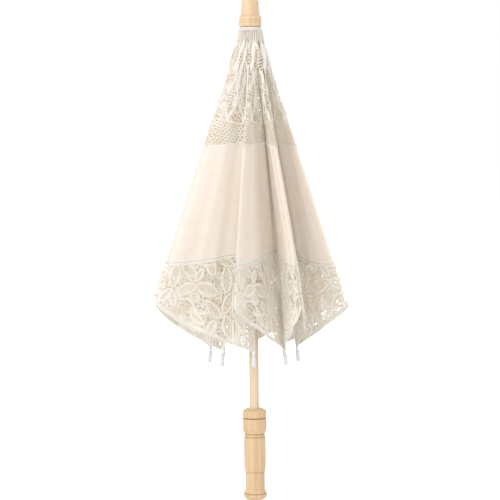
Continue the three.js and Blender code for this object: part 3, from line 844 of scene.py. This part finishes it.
def upperField(x, y, fromTop, fromHem, fromRib):
    # long tapes that part and meet down the gore, bars between them, and a net above the seam
    sizes = upperSizes
    polar = np.hypot(x, y)
    angle = np.arctan2(np.abs(x), y)
    lane = angle / sizes["halfAngle"]
    half = sizes["halfAngle"] * polar
    motif = np.full(x.shape, -9.0)
    for order, middle in enumerate(sizes["lanes"]):
        wave = sizes["swing"] * np.sin(polar / sizes["swingLength"] + order * math.pi + 0.3)
        tape = sizes["laneTape"] + sizes["laneGrowth"] * polar
        motif = np.maximum(motif, tape - np.abs(lane - middle - wave) * half)
    for place, length in sizes["petals"]:
        across = lane * half - 0.51 * half
        tape = loopField(across, polar, (0, place), 1.57, length, 0.11 * place, sizes["petalTape"])[0]
        motif = np.maximum(motif, tape)
    barPlace = (polar + 2 * np.sin(lane * 11)) / sizes["bars"] % 1
    bars = sizes["barWidth"] - np.abs(barPlace - 0.5) * sizes["bars"]
    net = netField(lane * sizes["netWide"], polar, sizes["netPitch"], sizes["netThread"])
    ground = np.maximum(bars, net)
    squares = holesField(angle * sizes["squaresAt"], polar, sizes["squarePitch"], sizes["squareHole"])
    ground = np.where(polar > sizes["netFrom"], squares, ground)
    motif = np.where(polar > sizes["netFrom"] + 1, -9.0, motif)
    tape = np.maximum.reduce([sizes["hemTape"] - fromHem, sizes["topTape"] - fromTop,
                              sizes["ribTape"] - fromRib,
                              sizes["bandTape"] - np.abs(polar - sizes["netFrom"])])
    return motif, ground, tape


def contourFaces(field):
    # polygons that cover the part of a grid where field is above zero, cut along its edge
    inside = field > 0
    cornerId = np.full(field.shape, -1)
    cornerId[inside] = np.arange(inside.sum())
    points = [np.argwhere(inside).astype(float)]
    total = len(points[0])
    edgeIds = []
    for axis in (1, 0):
        first = field[:, :-1] if axis == 1 else field[:-1]
        second = field[:, 1:] if axis == 1 else field[1:]
        crossing = (first > 0) != (second > 0)
        ids = np.full(first.shape, -1)
        ids[crossing] = total + np.arange(crossing.sum())
        where = np.argwhere(crossing).astype(float)
        share = first[crossing] / (first[crossing] - second[crossing])
        where[:, axis] += np.clip(share, 0.02, 0.98)
        points.append(where)
        total += len(where)
        edgeIds.append(ids)
    across, down = edgeIds
    ring = [cornerId[:-1, :-1], across[:-1], cornerId[:-1, 1:], down[:, 1:],
            cornerId[1:, 1:], across[1:], cornerId[1:, :-1], down[:, :-1]]
    ring = np.stack(ring, -1).reshape(-1, 8)
    used = ring >= 0
    sizes = used.sum(1)
    faces = []
    for size in range(3, 9):
        chosen = sizes == size
        if chosen.any():
            faces.append(ring[chosen][used[chosen]].reshape(-1, size))
    return np.vstack(points), faces


laceZones = {
    # top edge, bottom edge, pattern, and the columns and rows it is drawn on
    "upperLace": ("start", "upper", upperField, 84, 200),
    "border": ("lower", "hem", borderField, 150, 200),
}
laceSizes = {
    "patchRun": 8.5 * mm,       # patches where the painted shade on the ground is lifted, leaving it nearly as pale as the tapes
    "patchOff": 7.5 * mm,
    "patchTone": 0.8,
    "toneEdge": 0.5,
    "motifEdge": 0.9,           # how soon a motif rises from its edge, and a plain tape
    "tapeEdge": 0.8,
    "tapeHeight": 0.6,
    "lift": 0.15 * mm,
}


def makeLace(number, side, name):
    sizes = laceSizes
    panel = gores[number][side]
    top, bottom, pattern, columns, rows = laceZones[name]
    run, off, v, depth = zoneGrid(panel, top, bottom, columns, rows)
    flat = flatPlace(panel, run.ravel(), off.ravel()) / mm
    fromTop, fromHem = v * depth[None, :] / mm, (1 - v) * depth[None, :] / mm
    shape = run.shape
    motif, ground, tape = pattern(flat[:, 0].reshape(shape), flat[:, 1].reshape(shape),
                                  fromTop, fromHem, off / mm)
    field = np.maximum.reduce([motif, ground, tape])
    places, faces = contourFaces(field)
    grid = np.stack([run, off, motif, tape], -1)
    row, column = places[:, 0], places[:, 1]
    r0 = np.clip(row.astype(int), 0, rows - 2)
    c0 = np.clip(column.astype(int), 0, columns - 2)
    fr, fc = (row - r0)[:, None], (column - c0)[:, None]
    values = (grid[r0, c0] * (1 - fr) * (1 - fc) + grid[r0, c0 + 1] * (1 - fr) * fc
              + grid[r0 + 1, c0] * fr * (1 - fc) + grid[r0 + 1, c0 + 1] * fr * fc)
    run, off, motif, tape = values.T
    patches = np.sin(run / sizes["patchRun"] + 1) * np.sin(off / sizes["patchOff"] + number)
    # painted shade: the mask is low on the lower ground between the tapes, which takes the darker ground
    # colour, except in the pale patches
    onTape = np.maximum(smoothStep(np.maximum(motif, tape) / sizes["toneEdge"]),
                        sizes["patchTone"] * smoothStep(0.45 + 0.8 * patches))
    crown = 0.8 + 0.2 * np.cos(motif * math.pi / sizes["motifEdge"])
    raised = np.maximum(smoothStep(motif / sizes["motifEdge"]) * crown,
                        sizes["tapeHeight"] * smoothStep(tape / sizes["tapeEdge"]))
    points = onPanel(panel, run, off, sizes["lift"] + raised * mm)
    piece = newPiece(f"{name}_{number}_{side}", points, [orient(panel, group) for group in faces], lace)
    addUv(piece, flatPlace(panel, run, off))
    addMask(piece, "raised", onTape)
    return piece


seamTapes = {
    # seam, and (distance below it, width, height) for each narrow tape, in millimetres
    "upperTape": ("upper", [(0, 2.4, 0.8)]),
    "lowerTape": ("lower", [(-2.3, 2.4, 0.8), (1.9, 2.6, 0.9)]),
    "hemTape": ("hem", [(-1.1, 2.4, 0.6), (-4.0, 1.6, 0.7)]),
}


def makeSeamTape(number, side, name):
    panel = gores[number][side]
    edge, bands = seamTapes[name]
    columns, rows = 60, 7
    share = np.linspace(0, 1, columns)
    middle = zoneRun(panel, edge, share)
    v = np.linspace(-0.5, 0.5, rows)
    points, faces, flats = [], [], []
    for order, (below, width, height) in enumerate(bands):
        run = middle[None, :] + (below + v[:, None] * width) * mm
        off = np.maximum(share[None, :] * foldWidth(panel, run), canopySizes["tapeClear"])
        lift = np.repeat((0.1 + height * (1 - (2 * v) ** 4)) * mm, columns)
        points.append(onPanel(panel, run.ravel(), off.ravel(), lift))
        flats.append(flatPlace(panel, run.ravel(), off.ravel()))
        faces.append(gridFaces(rows, columns) + order * rows * columns)
    piece = newPiece(f"{name}_{number}_{side}", np.vstack(points), [orient(panel, np.vstack(faces))],
                     tapeCloth)
    addUv(piece, np.vstack(flats))
    return piece


ribTapeSizes = {"start": 9 * mm, "beforeTip": 17 * mm, "wrap": 1.35, "radius": 2.15 * mm}


def makeRibTape(number):
    # a narrow pocket of tape over the outer side of a rib
    sizes = ribTapeSizes
    line = ribLines[number]
    runs = np.linspace(sizes["start"], line["reach"] - sizes["beforeTip"], 90)
    angles = np.linspace(-sizes["wrap"], sizes["wrap"], 11)
    radius = sizes["radius"]
    points = []
    for run in runs:
        swell = 1 + 0.05 * math.sin(run / (4 * mm))
        for angle in angles:
            direction = line["out"] * math.cos(angle) + line["side"] * math.sin(angle)
            points.append(line["foot"] + run * line["along"] + radius * swell * direction)
    points = np.array(points)
    faces = gridFaces(len(runs), len(angles))
    piece = newPiece(f"ribTape_{number}", points, [faces], tapeCloth)
    addUv(piece, np.stack(np.meshgrid(angles * radius, runs), -1).reshape(-1, 2))
    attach(piece, f"rib_{number}")


def pearlTree():
    # small pearls or stitches at an even spacing along a line
    tree = bpy.data.node_groups.new("pearlRow", "GeometryNodeTree")
    face = tree.interface
    face.new_socket(name="Line", in_out="INPUT", socket_type="NodeSocketGeometry")
    for name in ("Spacing", "Radius", "Length"):
        face.new_socket(name=name, in_out="INPUT", socket_type="NodeSocketFloat")
    face.new_socket(name="Material", in_out="INPUT", socket_type="NodeSocketMaterial")
    face.new_socket(name="Pearls", in_out="OUTPUT", socket_type="NodeSocketGeometry")
    nodes, links = tree.nodes, tree.links
    start, end = nodes.new("NodeGroupInput"), nodes.new("NodeGroupOutput")
    curve = nodes.new("GeometryNodeMeshToCurve")
    spread = nodes.new("GeometryNodeCurveToPoints")
    spread.mode = "LENGTH"
    ball = nodes.new("GeometryNodeMeshIcoSphere")
    ball.inputs["Subdivisions"].default_value = 1
    stretch = nodes.new("ShaderNodeCombineXYZ")
    place = nodes.new("GeometryNodeInstanceOnPoints")
    real = nodes.new("GeometryNodeRealizeInstances")
    paint = nodes.new("GeometryNodeSetMaterial")
    smooth = nodes.new("GeometryNodeSetShadeSmooth")
    links.new(start.outputs["Line"], curve.inputs["Mesh"])
    links.new(curve.outputs["Curve"], spread.inputs["Curve"])
    links.new(start.outputs["Spacing"], spread.inputs["Length"])
    links.new(start.outputs["Radius"], ball.inputs["Radius"])
    stretch.inputs["X"].default_value = 1.0
    stretch.inputs["Y"].default_value = 1.0
    links.new(start.outputs["Length"], stretch.inputs["Z"])
    links.new(spread.outputs["Points"], place.inputs["Points"])
    links.new(ball.outputs["Mesh"], place.inputs["Instance"])
    links.new(spread.outputs["Rotation"], place.inputs["Rotation"])
    links.new(stretch.outputs["Vector"], place.inputs["Scale"])
    links.new(place.outputs["Instances"], real.inputs["Geometry"])
    links.new(real.outputs["Geometry"], smooth.inputs["Geometry"])
    links.new(smooth.outputs["Geometry"], paint.inputs["Geometry"])
    links.new(start.outputs["Material"], paint.inputs["Material"])
    links.new(paint.outputs["Geometry"], end.inputs["Pearls"])
    return tree


pearls = pearlTree()


def pearlRow(name, lines, spacing, radius, length, material):
    # lines is a list of point arrays; returns one plain mesh of pearls
    points = np.vstack(lines)
    edges = []
    base = 0
    for line in lines:
        edges += [(base + i, base + i + 1) for i in range(len(line) - 1)]
        base += len(line)
    mesh = bpy.data.meshes.new(name + "Line")
    mesh.from_pydata([tuple(p) for p in points], edges, [])
    holder = bpy.data.objects.new(name + "Line", mesh)
    bpy.context.scene.collection.objects.link(holder)
    modifier = holder.modifiers.new("pearls", "NODES")
    modifier.node_group = pearls
    values = {"Spacing": spacing, "Radius": radius, "Length": length, "Material": material}
    for item in pearls.interface.items_tree:
        if item.item_type == "SOCKET" and item.in_out == "INPUT" and item.name in values:
            modifier[item.identifier] = values[item.name]
    graph = bpy.context.evaluated_depsgraph_get()
    made = bpy.data.meshes.new_from_object(holder.evaluated_get(graph))
    bpy.data.objects.remove(holder)
    piece = bpy.data.objects.new(name, made)
    bpy.context.scene.collection.objects.link(piece)
    return piece


pearlSizes = {
    "spacing": 1.7 * mm,
    "radius": 0.5 * mm,
    "length": 1.3,
    "lift": 0.45 * mm,
    # seam that each row follows, and how far below it
    "rows": (("hem", 0.5 * mm), ("lower", -2.6 * mm), ("lower", 2.6 * mm), ("upper", -1.9 * mm)),
}


def makePearls(number, side):
    sizes = pearlSizes
    panel = gores[number][side]
    share = np.linspace(0.02, 1, 70)
    lines = []
    for edge, below in sizes["rows"]:
        run = zoneRun(panel, edge, share) + below
        off = np.maximum(share * foldWidth(panel, run), canopySizes["tapeClear"])
        lines.append(onPanel(panel, run, off, sizes["lift"]))
    return pearlRow(f"picots_{number}_{side}", lines, sizes["spacing"], sizes["radius"], sizes["length"],
                    tapeCloth)


sprigSizes = {
    "leaf": 3.2 * mm,
    "width": 1.3 * mm,
    "height": 0.3 * mm,
    "stem": 13 * mm,
    "stemWidth": 0.9 * mm,
    "stemBack": 4 * mm,
    "pairs": 5,
    "gap": 2.3,                 # millimetres between pairs, and from the stem to a leaf's middle
    "reach": 1.7,
    # run in millimetres, share of the way to the fold, and lean of each sprig
    "places": ((205, 0.55, 0.5), (248, 0.35, -0.3), (246, 0.76, 0.25)),
}


def leafPatch(panel, run, off, angle, length, width):
    # a raised satin-stitched leaf lying on the cloth
    rings = [0.0, 0.6, 1.0]
    spokes = 8
    points, lifts = [], []
    for ring in rings:
        for spoke in range(spokes):
            turn = 2 * math.pi * spoke / spokes
            u = ring * length / 2 * math.cos(turn)
            w = ring * width / 2 * math.sin(turn) * (1 - 0.35 * math.cos(turn))
            points.append((run + u * math.cos(angle) - w * math.sin(angle),
                           off + u * math.sin(angle) + w * math.cos(angle)))
            lifts.append(0.1 * mm + sprigSizes["height"] * (1 - ring ** 2))
    points = np.array(points)
    return onPanel(panel, points[:, 0], points[:, 1], np.array(lifts)), gridFaces(len(rings), spokes, True)


def makeSprigs(number, side):
    sizes = sprigSizes
    panel = gores[number][side]
    patches = []
    for runMm, share, lean in sizes["places"]:
        run = runMm * mm
        off = share * foldWidth(panel, run)
        leaves = [(sizes["gap"] * sizes["pairs"] / 2 - 2, 0, lean)]
        for pair in range(sizes["pairs"]):
            forward = sizes["gap"] * (pair - sizes["pairs"] / 2 - 1)
            leaves += [(forward, sizes["reach"] * way, lean + 0.9 * way) for way in (-1, 1)]
        for forward, aside, angle in leaves:
            leafRun = run + (forward * math.cos(lean) - aside * math.sin(lean)) * mm
            leafOff = off + (forward * math.sin(lean) + aside * math.cos(lean)) * mm
            patches.append(leafPatch(panel, leafRun, leafOff, angle, sizes["leaf"], sizes["width"]))
        back = sizes["stemBack"]
        patches.append(leafPatch(panel, run - back * math.cos(lean), off - back * math.sin(lean), lean,
                                 sizes["stem"], sizes["stemWidth"]))
    points = np.vstack([patch for patch, patchFaces in patches])
    starts = np.cumsum([0] + [len(patch) for patch, patchFaces in patches])
    faces = np.vstack([patchFaces + start for (patch, patchFaces), start in zip(patches, starts)])
    piece = newPiece(f"sprigs_{number}_{side}", points, [orient(panel, faces)], sprigThread)
    addUv(piece, points[:, [0, 2]])
    return piece


neckSizes = {
    "top": 13.2,                # radii, from the ferrule down
    "shoulder": 14.2,
    "hem": 17.4,
    "length": 19.0,
    "pleats": 34,
    "pleat": 0.9,
    "ragged": 2.4,              # unevenness of the lower edge
    "bendsBy": 9.0,
    "thread": 0.30,             # shares of the pleats and the bars that are cloth
    "bar": 0.13,
    "bars": 9,
    "solid": 0.10,
    "clothAround": 17 * mm,
    "clothDown": 20 * mm,
    "sides": 80,
    "rows": 60,
}


def makeCollar():
    # the flat ring of cloth pinched under the ferrule
    low, high = (corner.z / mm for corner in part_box("canopy_rosette"))
    rim = neckSizes["top"]
    edge = (high - low) / 3
    piece = turnedPiece("canopyCollar", [(0, low), (rim - edge, low), (rim, low + edge), (rim, high - edge),
                                         (rim - edge, high), (0, high)], tapeCloth, 64)
    addUv(piece, np.array([vertex.co[:2] for vertex in piece.data.vertices]))
    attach(piece, "shaft")
    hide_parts("canopy_rosette")


def makeNeckPetal(number):
    # gathered lace hanging from under the ferrule over one rib, with slits between its threads
    sizes = neckSizes
    foot = ribLines[number]["foot"]
    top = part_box("canopy_rosette")[1].z - 0.2 * mm
    spread = 2 * math.pi / goreCount
    first = math.atan2(foot[1], foot[0]) - spread / 2
    sides, rows = sizes["sides"], sizes["rows"]
    turn, t = np.meshgrid(first + np.linspace(0, spread, sides + 1), np.linspace(0, 1, rows))
    threads = sizes["thread"] - np.abs(turn * sizes["pleats"] / math.pi % 1 - 0.5)
    barPlace = t * sizes["bars"] + 0.35 * np.sin(turn * 13) + 0.3 * np.sin(turn * 7 + 1)
    bars = sizes["bar"] - np.abs(barPlace % 1 - 0.5)
    edge = (sizes["solid"] - t) * 8
    places, faces = contourFaces(np.maximum.reduce([threads, bars * 1.6, edge, (0.25 - t) * 0.4 - 0.02]))
    t = places[:, 0] / (rows - 1)
    turn = first + places[:, 1] / sides * spread
    radius = sizes["top"] + (sizes["shoulder"] - sizes["top"]) * np.sqrt(np.clip(t / 0.18, 0, 1))
    radius = radius + (sizes["hem"] - sizes["shoulder"]) * np.clip((t - 0.1) / 0.9, 0, 1)
    pleat = sizes["pleat"] * smoothStep(t / 0.3) * (np.cos(turn * sizes["pleats"]) + 0.5 * np.sin(7 * turn))
    radius = (radius + pleat) * mm
    unevenness = np.sin(turn * 8 + 0.6) + 0.5 * np.sin(turn * 19 + 1)
    drop = sizes["length"] * t + sizes["ragged"] * unevenness * t
    points = np.stack([radius * np.cos(turn), radius * np.sin(turn), top - drop * mm], -1)
    piece = newPiece(f"neckPetal_{number}", points, [group[:, ::-1] for group in faces], lace)
    addUv(piece, np.stack([turn * sizes["clothAround"], t * sizes["clothDown"]], -1))
    # painted shade: the hollows of the pleats take the lace's darker ground colour, and the whole petal takes
    # some of it
    addMask(piece, "raised", 0.35 + 0.65 * smoothStep(0.5 + 0.7 * np.cos(turn * sizes["pleats"])))
    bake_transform(piece)


makeHandle()
makeFerrule()
makeTips()
makeCollar()
for number in ribLines:
    makeNeckPetal(number)
print("wood and tips ready")

steelNodes = ("rivet", "notch_wire", "runner_wire", "stop_pin", "top_catch")
enamelNodes = ("rib_", "stretcher_", "top_notch", "runner")
for node in frame["nodes"]:
    if node.startswith(steelNodes):
        finishNode(node, steel)
    elif node.startswith(enamelNodes) and not node.startswith("rib_tip"):
        finishNode(node, enamel)
    elif node == "shaft":
        finishNode(node, shaftWood)

for number in gores:
    makeRibTape(number)
    for side in ("left", "right"):
        body = f"gore_{number}_{side}"
        band, flat, area = makeCotton(number, side)
        trims = [makeLace(number, side, name) for name in laceZones]
        trims += [makeSeamTape(number, side, name) for name in seamTapes]
        trims += [makePearls(number, side), makeSprigs(number, side)]
        for piece in [band, *trims]:
            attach(piece, body)
        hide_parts(body)
    print("gore", number, "ready")


def softBox(name, place, target, size, power, tint=(1, 1, 1)):
    light = bpy.data.lights.new(name, "AREA")
    light.shape = "DISK"
    light.size = size
    light.energy = power
    light.color = tint
    lamp = bpy.data.objects.new(name, light)
    lamp.location = place
    lamp.rotation_euler = (Vector(target) - Vector(place)).to_track_quat("-Z", "Y").to_euler()
    bpy.context.scene.collection.objects.link(lamp)


studioSizes = {
    "around": 0.95,
    "key": 20.0,
    "fill": 5.0,
    "aimHeight": 0.33,
    "floorDrop": 0.6,
    "floorHalf": 20.0,
}


def makeStudio():
    sizes = studioSizes
    floorMaterial, _, _, shader = newMaterial("paleFloor", 0.9)
    shader.inputs["Base Color"].default_value = (0.9, 0.9, 0.9, 1)
    shader.inputs["Emission Color"].default_value = (1, 1, 1, 1)
    shader.inputs["Emission Strength"].default_value = 0.6
    half, drop = sizes["floorHalf"], -sizes["floorDrop"]
    points = [(-half, -half, drop), (half, -half, drop), (half, half, drop), (-half, half, drop)]
    floor = newPiece("floor", points, [np.array([[0, 1, 2, 3]])], floorMaterial)
    floor.visible_diffuse = False
    floor.visible_glossy = False
    world = bpy.data.worlds.new("studio")
    bpy.context.scene.world = world
    world.use_nodes = True
    nodes, links = world.node_tree.nodes, world.node_tree.links
    path = nodes.new("ShaderNodeLightPath")
    strength = mathNode(nodes, links, "MULTIPLY_ADD", path.outputs["Is Camera Ray"], 1 - sizes["around"],
                        sizes["around"])
    nodes["Background"].inputs["Color"].default_value = (1, 1, 1, 1)
    links.new(strength, nodes["Background"].inputs["Strength"])
    target = (0, 0, sizes["aimHeight"])
    softBox("keyLight", (-1.5, -1.6, 1.0), target, 1.2, sizes["key"], (1, 0.985, 0.96))
    softBox("fillLight", (1.6, -1.6, 0.5), target, 1.6, sizes["fill"])


cameraSetting = {
    "distance": 2.6,
    "height": 0.518,
    "middle": 0.3274,           # height that the camera looks at
    "aside": -0.0035,
    "roll": -0.63,              # degrees
    "span": 0.650,              # width of the view there
    "sensor": 36,
}


def makeCamera():
    setting = cameraSetting
    camera = bpy.data.objects.new("camera", bpy.data.cameras.new("camera"))
    place = Vector((setting["aside"], -setting["distance"], setting["height"]))
    target = Vector((setting["aside"], 0, setting["middle"]))
    camera.data.sensor_width = setting["sensor"]
    camera.data.lens = setting["sensor"] * (target - place).length / setting["span"]
    turn = (target - place).to_track_quat("-Z", "Y").to_matrix().to_4x4()
    roll = Matrix.Rotation(math.radians(setting["roll"]), 4, "Z")
    camera.matrix_world = Matrix.Translation(place) @ turn @ roll
    bpy.context.scene.collection.objects.link(camera)
    bpy.context.scene.camera = camera


makeStudio()
makeCamera()
bpy.context.scene.view_settings.view_transform = "Standard"
print("scene ready")
